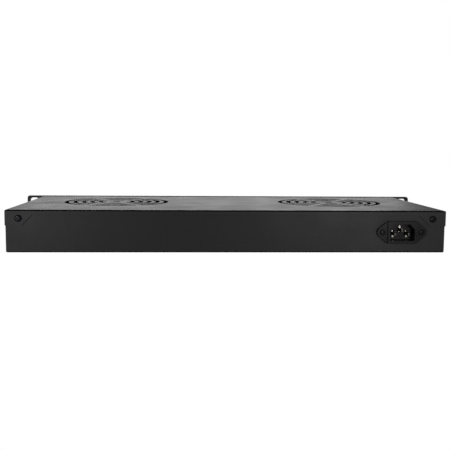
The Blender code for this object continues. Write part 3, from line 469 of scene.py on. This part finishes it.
fan_low, fan_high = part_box("fan_frame_left")
fan_centre = middle(fan_low, fan_high).xy
blade_root = 32.6 * MM
blade_tip = 55.4 * MM
blade_steps = 12
blade_top = fan_low.z + 31.0 * MM
blade_drop = 23.0 * MM
blade_count = 7
bpy.ops.object.select_all(action="DESELECT")
bpy.ops.mesh.primitive_plane_add(size=1.0, location=(0.0, 0.0, 0.0))
blade = bpy.context.object
edit(blade)
choose("VERT", lambda v: v.co.y < 0)
bpy.ops.mesh.delete(type="VERT")
bpy.ops.mesh.select_all(action="SELECT")
bpy.ops.transform.resize(value=(blade_tip - blade_root, 1.0, 1.0), center_override=(0.0, 0.5, 0.0))
bpy.ops.transform.translate(value=(fan_centre.x + (blade_root + blade_tip) / 2, fan_centre.y - 0.5,
                                   blade_top))
bpy.ops.mesh.subdivide(number_cuts=7)
for share in range(1, 8):
    reach = blade_root + (blade_tip - blade_root) * (share - 0.5) / 8
    choose("VERT", lambda v: v.co.x - fan_centre.x > reach if abs(v.co.y - fan_centre.y) < 1e-6
           else (v.co.xy - fan_centre).length > reach)
    turn_selected(1.6 + 0.25 * share, fan_centre)
bpy.ops.mesh.select_all(action="SELECT")
turn_selected(12.0, fan_centre)
for step in range(blade_steps):
    bpy.ops.mesh.extrude_region_move(TRANSFORM_OT_translate={"value": (0.0, 0.0, -blade_drop / blade_steps)})
    turn_selected(-4.1 + 1.8 * step / blade_steps, fan_centre)
leave_edit()
apply_modifier(blade, "SOLIDIFY", thickness=1.8 * MM, offset=0.0, use_even_offset=True)
apply_modifier(blade, "BEVEL", width=0.6 * MM, segments=3, limit_method="ANGLE",
               angle_limit=math.radians(40.0))

hub_radius = 34.0 * MM
hub_low_z = fan_low.z + 6.0 * MM
hub_high_z = fan_low.z + 35.0 * MM
hub = new_rod("impeller_hub", (*fan_centre, (hub_low_z + hub_high_z) / 2), hub_radius, hub_high_z - hub_low_z,
              sides=72)
edit(hub)
choose("FACE", lambda f: f.normal.z < -0.9)
bpy.ops.mesh.inset(thickness=2.6 * MM)
bpy.ops.mesh.extrude_region_move(TRANSFORM_OT_translate={"value": (0.0, 0.0, 27.2 * MM)})
choose("EDGE", lambda e: is_level(e) and e.verts[0].co.z > hub_high_z - 0.1 * MM)
bpy.ops.mesh.bevel(offset=1.6 * MM, segments=5, affect="EDGES")
choose("FACE", lambda f: f.normal.z > 0.99 and f.calc_center_median().z > hub_high_z - 0.1 * MM)
bpy.ops.mesh.inset(thickness=5.0 * MM)
bpy.ops.mesh.extrude_region_move(TRANSFORM_OT_translate={"value": (0.0, 0.0, -0.7 * MM)})
bpy.ops.mesh.inset(thickness=17.0 * MM)
bpy.ops.mesh.extrude_region_move(TRANSFORM_OT_translate={"value": (0.0, 0.0, 0.5 * MM)})
leave_edit()


def copy_piece(piece, name, matrix):
    """A copy with its own mesh, turned or moved by a matrix."""
    made = piece.copy()
    made.data = piece.data.copy()
    made.data.transform(matrix)
    made.name = name
    bpy.context.scene.collection.objects.link(made)
    return made


def about_axis(centre, degrees):
    """A turn about an upright axis through a point."""
    shift = Matrix.Translation((*centre, 0.0))
    return shift @ Matrix.Rotation(math.radians(degrees), 4, "Z") @ shift.inverted()


for number in range(1, blade_count):
    weld_on(hub, copy_piece(blade, f"blade_{number}", about_axis(fan_centre, 360.0 * number / blade_count)))
weld_on(hub, blade)
apply_modifier(hub, "WEIGHTED_NORMAL", keep_sharp=True)
edit(hub)
bpy.ops.mesh.select_all(action="SELECT")
leave_edit()
bpy.ops.object.shade_smooth_by_angle(angle=math.radians(35.0))
hub.name = "moulded_impeller_left"
fan_spacing = centre_of("fan_frame_right").x - fan_centre.x
other_hub = copy_piece(hub, "moulded_impeller_right", Matrix.Translation((fan_spacing, 0.0, 0.0)))
finish_piece(hub, filled_polyester, "impeller_polyester", "left_impeller", "impeller_left")
finish_piece(other_hub, filled_polyester, "impeller_polyester", "right_impeller", "impeller_right")


# Countersunk screws. Four M3 screws hold each fan from below and four hold the rack panel to the tray, all
# with their heads flush. Steel, black zinc plated, with a cross recess pressed in the head.
# Black zinc over steel: a dark, slightly uneven metal film with cloudy patches about 2 mm across.
black_zinc, shader = new_material("black_zinc_on_steel")
patches = grain(black_zinc, 2.0, 3.0)
connect(black_zinc, colours(black_zinc, patches.outputs["Fac"], (0.3, "#202022"), (0.7, "#303033")),
        shader, "Base Color")
connect(black_zinc, between(black_zinc, patches.outputs["Fac"], 0.18, 0.3), shader, "Roughness")
shader.inputs["Metallic"].default_value = 1.0


def press_cross(screw, head_radius, depth):
    """Presses a tapered cross into a head whose top is at z = 0."""
    for long_x in (True, False):
        reach = 0.56 * head_radius
        half = 0.15 * head_radius
        size = (reach, half) if long_x else (half, reach)
        tool = new_block("cross_tool", (-size[0], -size[1], -depth), (size[0], size[1], depth))
        edit(tool)
        choose("VERT", lambda v: v.co.z < 0)
        bpy.ops.transform.resize(value=(0.55, 0.75, 1.0) if long_x else (0.75, 0.55, 1.0),
                                 center_override=(0.0, 0.0, -depth))
        leave_edit()
        punch(screw, tool)


def place_screws(shape, outward, nodes_replaced):
    """Copies a finished screw, head up and its top at the origin, to each node's place."""
    turn = Vector((0.0, 0.0, 1.0)).rotation_difference(Vector(outward)).to_matrix().to_4x4()
    for node in nodes_replaced:
        low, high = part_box(node)
        head = middle(low, high)
        for axis in range(3):
            if outward[axis]:
                head[axis] = high[axis] if outward[axis] > 0 else low[axis]
        placed = copy_piece(shape, f"cross_head_{node}", Matrix.Translation(head) @ turn)
        finish_piece(placed, black_zinc, "black_screw", "chassis", node)
    bpy.data.objects.remove(shape)


def make_screw(node, outward, head_radius, head_height, shank_radius, flat):
    """A screw along Z as long as its node: a flat head is a cone, a pan head is domed."""
    low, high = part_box(node)
    length = sum(abs(span * way) for span, way in zip(high - low, outward))
    screw = new_rod("screw_shape", (0.0, 0.0, -head_height / 2), shank_radius if flat else head_radius,
                    head_height, sides=48, end_radius=head_radius)
    edit(screw)
    choose("FACE", lambda f: f.normal.z < -0.99)
    if not flat:
        bpy.ops.mesh.inset(thickness=head_radius - shank_radius)
    bpy.ops.mesh.extrude_region_move(TRANSFORM_OT_translate={"value": (0.0, 0.0, head_height - length)})
    choose("EDGE", lambda e: is_level(e) and e.verts[0].co.z < 0.05 * MM - length)
    bpy.ops.mesh.bevel(offset=0.35 * MM, segments=1, affect="EDGES")
    if not flat:
        choose("EDGE", lambda e: is_level(e) and e.verts[0].co.z > -0.01 * MM)
        bpy.ops.mesh.bevel(offset=0.85 * head_height, segments=6, affect="EDGES")
    leave_edit()
    press_cross(screw, head_radius, 0.7 * head_height)
    soften(screw, 0.08)
    return screw


panel_screws = sorted(name for name in nodes if name.startswith("panel_screw"))
place_screws(make_screw(fan_screws[0], (0, 0, -1), 2.95 * MM, 1.2 * MM, 1.75 * MM, True), (0, 0, -1),
             fan_screws)
place_screws(make_screw(panel_screws[0], (0, 1, 0), 3.1 * MM, 1.6 * MM, 1.5 * MM, True), (0, 1, 0),
             panel_screws)


# Pan-head screws. Two hold the cover's rear tabs, one each side holds its flanges, and two smaller ones hold
# the mains inlet. Black zinc-plated steel, driven into threads in the tray or into nuts.
pan = (3.5 * MM, 1.9 * MM, 1.5 * MM, False)
place_screws(make_screw("cover_screw_left", (0, -1, 0), *pan), (0, -1, 0),
             ["cover_screw_left", "cover_screw_right"])
for side, way in (("left", -1), ("right", 1)):
    place_screws(make_screw(f"side_screw_{side}", (way, 0, 0), *pan), (way, 0, 0), [f"side_screw_{side}"])
small_pan = (2.9 * MM, 1.5 * MM, 1.5 * MM, False)
place_screws(make_screw("inlet_screw_left", (0, -1, 0), *small_pan), (0, -1, 0),
             ["inlet_screw_left", "inlet_screw_right"])


# Mains inlet body. An appliance inlet moulded in black nylon: a flange with a wing at each side, a raised
# block round a socket with two chamfered corners, and a housing behind it in the tray's opening.
# Moulded nylon: near black with a faint eggshell texture 0.4 mm across and a satin sheen.
moulded_nylon, shader = new_material("black_moulded_nylon")
eggshell = grain(moulded_nylon, 0.4, 2.0)
sheen = grain(moulded_nylon, 9.0, 2.0)
connect(moulded_nylon, colours(moulded_nylon, sheen.outputs["Fac"], (0.3, "#050506"), (0.7, "#09090a")),
        shader, "Base Color")
connect(moulded_nylon, between(moulded_nylon, sheen.outputs["Fac"], 0.3, 0.4), shader, "Roughness")
skin = add_node(moulded_nylon, "ShaderNodeBump",
                {"Height": eggshell.outputs["Fac"], "Strength": 0.25, "Distance": 0.02 * MM})
connect(moulded_nylon, skin.outputs["Normal"], shader, "Normal")
shader.inputs["Specular IOR Level"].default_value = 0.25

inlet_low, inlet_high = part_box("inlet_body")
inlet = middle(inlet_low, inlet_high)
wing_reach = 20.0 * MM
wing_radius = 5.5 * MM
wing_thickness = 2.8 * MM
wing_back = inlet_high.y - 13.0 * MM
wing_front = wing_back - wing_thickness
block_half = Vector((15.0 * MM, 0.0, 11.25 * MM))
body = new_block("moulded_inlet", (inlet.x - block_half.x, wing_front, inlet.z - block_half.z),
                 (inlet.x + block_half.x, wing_back, inlet.z + block_half.z))
edit(body)
for way in (-1, 1):
    bpy.ops.mesh.primitive_cylinder_add(
        vertices=48, radius=wing_radius, depth=wing_back - wing_front, rotation=(math.pi / 2, 0.0, 0.0),
        location=(inlet.x + way * wing_reach, (wing_front + wing_back) / 2, inlet.z))
bpy.ops.mesh.select_all(action="SELECT")
bpy.ops.mesh.convex_hull()
bpy.ops.mesh.select_all(action="SELECT")
bpy.ops.mesh.dissolve_limited(angle_limit=math.radians(1.0))
leave_edit()
weld_on(body, new_block("raised_block", (inlet.x - block_half.x, inlet_low.y, inlet.z - block_half.z),
                        (inlet.x + block_half.x, wing_front + 1.0 * MM, inlet.z + block_half.z)),
        new_block("rear_housing", (inlet.x - 13.6 * MM, wing_back - 1.0 * MM, inlet.z - 9.9 * MM),
                  (inlet.x + 13.6 * MM, inlet_high.y, inlet.z + 9.9 * MM)))
socket_half = Vector((12.5 * MM, 0.0, 8.25 * MM))
socket_floor = inlet_low.y + 12.8 * MM
socket_z = inlet.z - 0.2 * MM
socket = new_block("socket_tool", (inlet.x - socket_half.x, inlet_low.y - through, socket_z - socket_half.z),
                   (inlet.x + socket_half.x, socket_floor, socket_z + socket_half.z))
edit(socket)
choose("EDGE", lambda e: abs(e.verts[0].co.y - e.verts[1].co.y) > 10 * MM and e.verts[0].co.z > socket_z)
bpy.ops.mesh.bevel(offset=5.0 * MM, segments=1, affect="EDGES")
choose("EDGE", lambda e: abs(e.verts[0].co.y - e.verts[1].co.y) > 10 * MM and e.verts[0].co.z < socket_z)
bpy.ops.mesh.bevel(offset=1.0 * MM, segments=4, affect="EDGES")
leave_edit()
punch(body, socket)
blade_nodes = sorted(name for name in nodes if name.startswith("inlet_blade"))


def blade_centre(node):
    """Where a blade stands. Its shoulder reaches 4 mm above it on the earth blade, and below on the others."""
    low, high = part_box(node)
    return middle(low, high).x, high.z - 4.0 * MM if node.endswith("earth") else low.z + 4.0 * MM


for node in blade_nodes:
    x, z = blade_centre(node)
    punch(body, new_block("blade_slot", (x - 1.3 * MM, socket_floor - through, z - 3.45 * MM),
                          (x + 1.3 * MM, inlet_high.y + through, z + 3.45 * MM)))
for way in (-1, 1):
    punch(body, new_rod("wing_hole", (inlet.x + way * wing_reach, wing_back, inlet.z), 1.8 * MM, 4 * through,
                        axis="Y", sides=32))
soften(body, 0.35, 3)
finish_piece(body, moulded_nylon, "black_moulding", "chassis", "inlet_body")


# Inlet blades. Live, neutral and earth: nickel-plated brass, each with rounded contact edges, a shoulder that
# stands on the socket's floor, and a flat 6.3 mm push-on tab behind with a locking hole.
# Nickel plate: warm white metal, polished, with faint drawing lines 1 mm apart. In front of the shoulders,
# inside the socket, its colour is darkened to a fifth: painted shade.
painted_shade_full_y = socket_floor - 1.9 * MM
painted_shade_end_y = socket_floor - 1.35 * MM
nickel, shader = new_material("nickel_plate")
drawing = grain(nickel, 1.0, 3.0)
along = add_node(nickel, "ShaderNodeSeparateXYZ", {0: add_node(nickel,
                                                               "ShaderNodeTexCoord").outputs["Object"]})
# Painted shade: the plating's colour falls to a fifth in front of the shoulders, fading in over 0.55 mm.
plating_and_painted_shade = add_node(nickel, "ShaderNodeHueSaturation",
                   {"Color": colours(nickel, drawing.outputs["Fac"], (0.3, "#bdb8ae"), (0.7, "#d6d1c8")),
                    "Value": between(nickel, along.outputs["Y"], 0.2, 1.0, painted_shade_full_y, painted_shade_end_y)})
connect(nickel, plating_and_painted_shade.outputs["Color"], shader, "Base Color")
connect(nickel, between(nickel, drawing.outputs["Fac"], 0.16, 0.28), shader, "Roughness")
shader.inputs["Metallic"].default_value = 1.0
dress(nickel, "switch_tab", "earth_ring_terminal")

pin_half = Vector((1.0 * MM, 0.0, 2.0 * MM))
tab_half = Vector((0.4 * MM, 0.0, 3.15 * MM))
for node in blade_nodes:
    low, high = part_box(node)
    x, z = blade_centre(node)
    pin = new_block(f"formed_{node}", (x - pin_half.x, low.y, z - pin_half.z),
                    (x + pin_half.x, socket_floor, z + pin_half.z))
    edit(pin)
    choose("EDGE", lambda e: min(v.co.y for v in e.verts) < low.y + 0.01 * MM)
    bpy.ops.mesh.bevel(offset=0.6 * MM, segments=4, affect="EDGES")
    leave_edit()
    neck = new_block("neck", (x - tab_half.x, socket_floor - 0.8 * MM, z - 1.9 * MM),
                     (x + tab_half.x, socket_floor + 2.0 * MM, z + 1.9 * MM))
    tab = new_block("push_on_tab", (x - tab_half.x, socket_floor + 1.5 * MM, z - tab_half.z),
                    (x + tab_half.x, high.y, z + tab_half.z))
    edit(tab)
    choose("EDGE",
           lambda e: abs(e.verts[0].co.x - e.verts[1].co.x) > 0.7 * MM and e.verts[0].co.y > high.y - 0.01 * MM)
    bpy.ops.mesh.bevel(offset=1.0 * MM, segments=1, affect="EDGES")
    leave_edit()
    punch(tab, new_rod("locking_hole", (x, high.y - 4.5 * MM, z), 0.9 * MM, 4 * MM, axis="X", sides=24))
    below, above = (1.5 * MM, 4.0 * MM) if node.endswith("earth") else (4.0 * MM, 1.5 * MM)
    weld_on(pin, new_block("shoulder", (x - 0.99 * MM, socket_floor - 1.3 * MM, z - below),
                           (x + 0.99 * MM, socket_floor - 0.3 * MM, z + above)), neck, tab)
    soften(pin, 0.1)
    finish_piece(pin, nickel, "nickel_plate", "chassis", node)


# Wiring. Leads of single-insulated stranded wire run along the floor in two nylon clips, from the inlet to
# the switch, the terminal block and the earth stud. Each lead is coloured for what it carries.
def wire_cover(name, *stops):
    """Glossy PVC, its colours given against a band pattern 8 mm long that runs across the wire."""
    material, shader = new_material(name)
    place = add_node(material, "ShaderNodeTexCoord")
    band = add_node(material, "ShaderNodeTexWave",
                    {"Vector": place.outputs["Object"], "Scale": math.tau / 20.0 / (8.0 * MM),
                     "Distortion": 0.4},
                    bands_direction="DIAGONAL")
    connect(material, colours(material, band.outputs["Fac"], *stops), shader, "Base Color")
    scuff = grain(material, 3.0)
    connect(material, between(material, scuff.outputs["Fac"], 0.28, 0.4), shader, "Roughness")
    return material


dress(wire_cover("brown_wire_cover", (0.2, "#4a2413"), (0.8, "#57301b")), "live_lead", "switched_lead")
dress(wire_cover("blue_wire_cover", (0.2, "#1f4f8f"), (0.8, "#275a9e")), "neutral_lead")
dress(wire_cover("green_and_yellow_wire_cover", (0.48, "#2f7d32"), (0.52, "#d8c21f")), "earth_lead")
dress(wire_cover("black_wire_cover", (0.2, "#111112"), (0.8, "#18181a")), "fan_lead")
dress(moulded_nylon, "lead_clip")

# Natural nylon: milky and slightly translucent, a touch yellow, with soft flow marks 5 mm across.
natural_nylon, shader = new_material("natural_nylon")
flow = grain(natural_nylon, 5.0)
connect(natural_nylon, colours(natural_nylon, flow.outputs["Fac"], (0.3, "#d9d3c2"), (0.7, "#e6e1d3")),
        shader, "Base Color")
connect(natural_nylon, between(natural_nylon, flow.outputs["Fac"], 0.36, 0.48), shader, "Roughness")
shader.inputs["Subsurface Weight"].default_value = 0.25
shader.inputs["Subsurface Radius"].default_value = (1.2 * MM, 1.0 * MM, 0.8 * MM)
shader.inputs["Subsurface Scale"].default_value = 1.0
dress(natural_nylon, "terminal_block")
dress(zinc_plate, "terminal_block_screw")


# Power switch. A snap-in rocker switch in the panel: a black nylon housing with a bezel, and a rocker that
# tilts in its well. The rocker is dished and has its two marks engraved.
housing_low, housing_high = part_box("switch_housing")
switch_x, _, switch_z = centre_of("switch_housing")
bezel_back = housing_high.y - 1.6 * MM
housing = new_block("snap_in_switch", (housing_low.x, bezel_back, housing_low.z), tuple(housing_high))
edit(housing)
choose("EDGE", lambda e: abs(e.verts[0].co.y - e.verts[1].co.y) > 1.0 * MM)
bpy.ops.mesh.bevel(offset=1.0 * MM, segments=5, affect="EDGES")
choose("EDGE", lambda e: min(v.co.y for v in e.verts) > housing_high.y - 0.01 * MM)
bpy.ops.mesh.bevel(offset=0.6 * MM, segments=3, affect="EDGES")
leave_edit()
weld_on(housing, new_block("switch_barrel", (switch_x - 6.5 * MM, housing_low.y, switch_z - 9.5 * MM),
                           (switch_x + 6.5 * MM, bezel_back + 0.8 * MM, switch_z + 9.5 * MM)))
pivot = Vector((switch_x, housing_high.y - 2.9 * MM, switch_z))
punch(housing, new_block("rocker_well", (switch_x - 5.2 * MM, pivot.y - 5.0 * MM, switch_z - 8.6 * MM),
                         (switch_x + 5.2 * MM, housing_high.y + through, switch_z + 8.6 * MM)))
for node in ("switch_tab_feed", "switch_tab_load"):
    low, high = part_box(node)
    punch(housing, new_block("tab_slot", (low.x - 0.3 * MM, housing_low.y - through, low.z - 0.3 * MM),
                             (high.x + 0.3 * MM, high.y + 0.3 * MM, high.z + 0.3 * MM)))
soften(housing, 0.15)
finish_piece(housing, moulded_nylon, "black_moulding", "chassis", "switch_housing")

_, rocker_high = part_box("switch_rocker")
half_length = 7.8 * MM
half_width = 4.8 * MM
tilt = math.radians(-10.0)
face = (rocker_high.y - pivot.y - half_length * math.sin(-tilt)) / math.cos(tilt)
dish = 1.0 * MM
rocker = new_block("engraved_rocker", (pivot.x - half_width, pivot.y - 0.4 * MM, pivot.z - half_length),
                   (pivot.x + half_width, pivot.y + face, pivot.z + half_length))
edit(rocker)
bpy.ops.mesh.select_all(action="SELECT")
bpy.ops.mesh.bisect(plane_co=tuple(pivot), plane_no=(0.0, 0.0, 1.0))
choose("VERT", lambda v: abs(v.co.z - pivot.z) < 0.01 * MM and v.co.y > pivot.y)
bpy.ops.transform.translate(value=(0.0, -dish, 0.0))
choose("EDGE", lambda e: all(abs(v.co.z - pivot.z) < 0.01 * MM and v.co.y > pivot.y for v in e.verts))
bpy.ops.mesh.bevel(offset=5.0 * MM, segments=8, affect="EDGES")
leave_edit()
weld_on(rocker, new_rod("belly", tuple(pivot), 4.2 * MM, 2 * half_width - 0.02 * MM, axis="X", sides=48))
mark_z = 4.7 * MM
mark_depth = face - 0.9 * MM
punch(rocker, new_block("on_mark", (pivot.x - 0.3 * MM, pivot.y + mark_depth, pivot.z + mark_z - 1.5 * MM),
                        (pivot.x + 0.3 * MM, pivot.y + face + through, pivot.z + mark_z + 1.5 * MM)))
ring = new_rod("off_mark", (pivot.x, pivot.y + mark_depth + 5 * MM, pivot.z - mark_z), 1.7 * MM, 10 * MM,
               axis="Y")
punch(ring, new_rod("ring_core", (pivot.x, pivot.y + mark_depth + 5 * MM, pivot.z - mark_z), 1.15 * MM,
                    20 * MM,
                    axis="Y"))
punch(rocker, ring)
soften(rocker, 0.2, 3)
at_pivot = Matrix.Translation(pivot)
rocker.data.transform(at_pivot @ Matrix.Rotation(tilt, 4, "X") @ at_pivot.inverted())
finish_piece(rocker, moulded_nylon, "black_moulding", "rocker", "switch_rocker")


# Top cover. A lid of 1.2 mm steel folded down on three sides, its vents pierced over the fans. The rear
# flange is shallow, with a deeper tab for a screw at each end; powder coated as the tray.
cover_low, cover_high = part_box("top_cover")
cover = folded_sheet("folded_top_cover", cover_low, cover_high,
                     lambda f: f.normal.z < -0.9 or f.normal.y > 0.9,
                     cover_high.z, sheet_thickness)
punch(cover, *vents)
rear_flange = 5.0 * MM
notch_bottom = 206.0 * MM
notch_top = 195.0 * MM
notch = new_block("rear_notch", (-notch_bottom, cover_low.y - through, cover_low.z - 1.0 * MM),
                  (notch_bottom, cover_low.y + through, cover_high.z - rear_flange))
edit(notch)
choose("VERT", lambda v: v.co.z > cover_low.z)
bpy.ops.transform.resize(value=(notch_top / notch_bottom, 1.0, 1.0), center_override=(0.0, 0.0, 0.0))
leave_edit()
punch(cover, notch)
for x in (cover_low.x, cover_high.x):
    seam_y = cover_low.y + sheet_thickness + 0.2 * MM
    punch(cover, new_block("corner_seam", (x - through, seam_y - 0.2 * MM, cover_low.z - through),
                           (x + through, seam_y + 0.2 * MM, cover_high.z - 2.2 * MM)))
for node in ("cover_screw_left", "cover_screw_right", "side_screw_left", "side_screw_right"):
    sideways = node.startswith("side")
    place = centre_of(node)
    place.x = min(max(place.x, cover_low.x), cover_high.x)
    place.y = max(place.y, cover_low.y)
    punch(cover, new_rod("screw_hole", place, 1.8 * MM, 12 * MM, axis="X" if sideways else "Y", sides=32))
soften(cover, 0.2)
finish_piece(cover, powder_coat, "black_powder_coat", "chassis", "top_cover")


# Rack panel. A 2 mm steel plate across the front, 1U tall, with two open slots in each ear, countersinks for
# its four screws and an opening for the switch; powder coated.
panel_low, panel_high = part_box("front_panel")
panel = new_block("rack_panel", panel_low, panel_high)
edit(panel)
choose("EDGE", lambda e: abs(e.verts[0].co.y - e.verts[1].co.y) > 1.0 * MM)
bpy.ops.mesh.bevel(offset=3.2 * MM, segments=10, affect="EDGES")
leave_edit()
panel_middle = middle(panel_low, panel_high)
slot_rise = 15.875 * MM
slot_radius = 3.4 * MM
slot_straight = 1.6 * MM
for side in (-1, 1):
    for rise in (-slot_rise, slot_rise):
        x = side * 232.55 * MM
        z = panel_middle.z + rise
        slot = new_block("slot_tool", (x - slot_straight, panel_low.y - through, z - slot_radius),
                         (x + slot_straight, panel_high.y + through, z + slot_radius))
        weld_on(slot, *(new_rod("slot_end", (x + way * slot_straight, panel_middle.y, z), slot_radius,
                                2 * through + 2.0 * MM, axis="Y", sides=48) for way in (-1, 1)))
        punch(panel, slot)
for node in panel_screws:
    x, z = centre_of(node).xz
    punch(panel, new_rod("countersink", (x, panel_high.y - 0.5 * MM, z), 1.2 * MM, 5.0 * MM, axis="Y",
                         sides=48,
                         end_radius=5.2 * MM),
          new_rod("screw_hole", (x, panel_low.y, z), 1.8 * MM, 2 * through, axis="Y"))
punch(panel, new_block("switch_opening", (switch_x - 6.9 * MM, panel_low.y - through, switch_z - 9.9 * MM),
                       (switch_x + 6.9 * MM, panel_high.y + through, switch_z + 9.9 * MM)))
soften(panel, 0.15, 3)
finish_piece(panel, powder_coat, "black_powder_coat", "chassis", "front_panel")
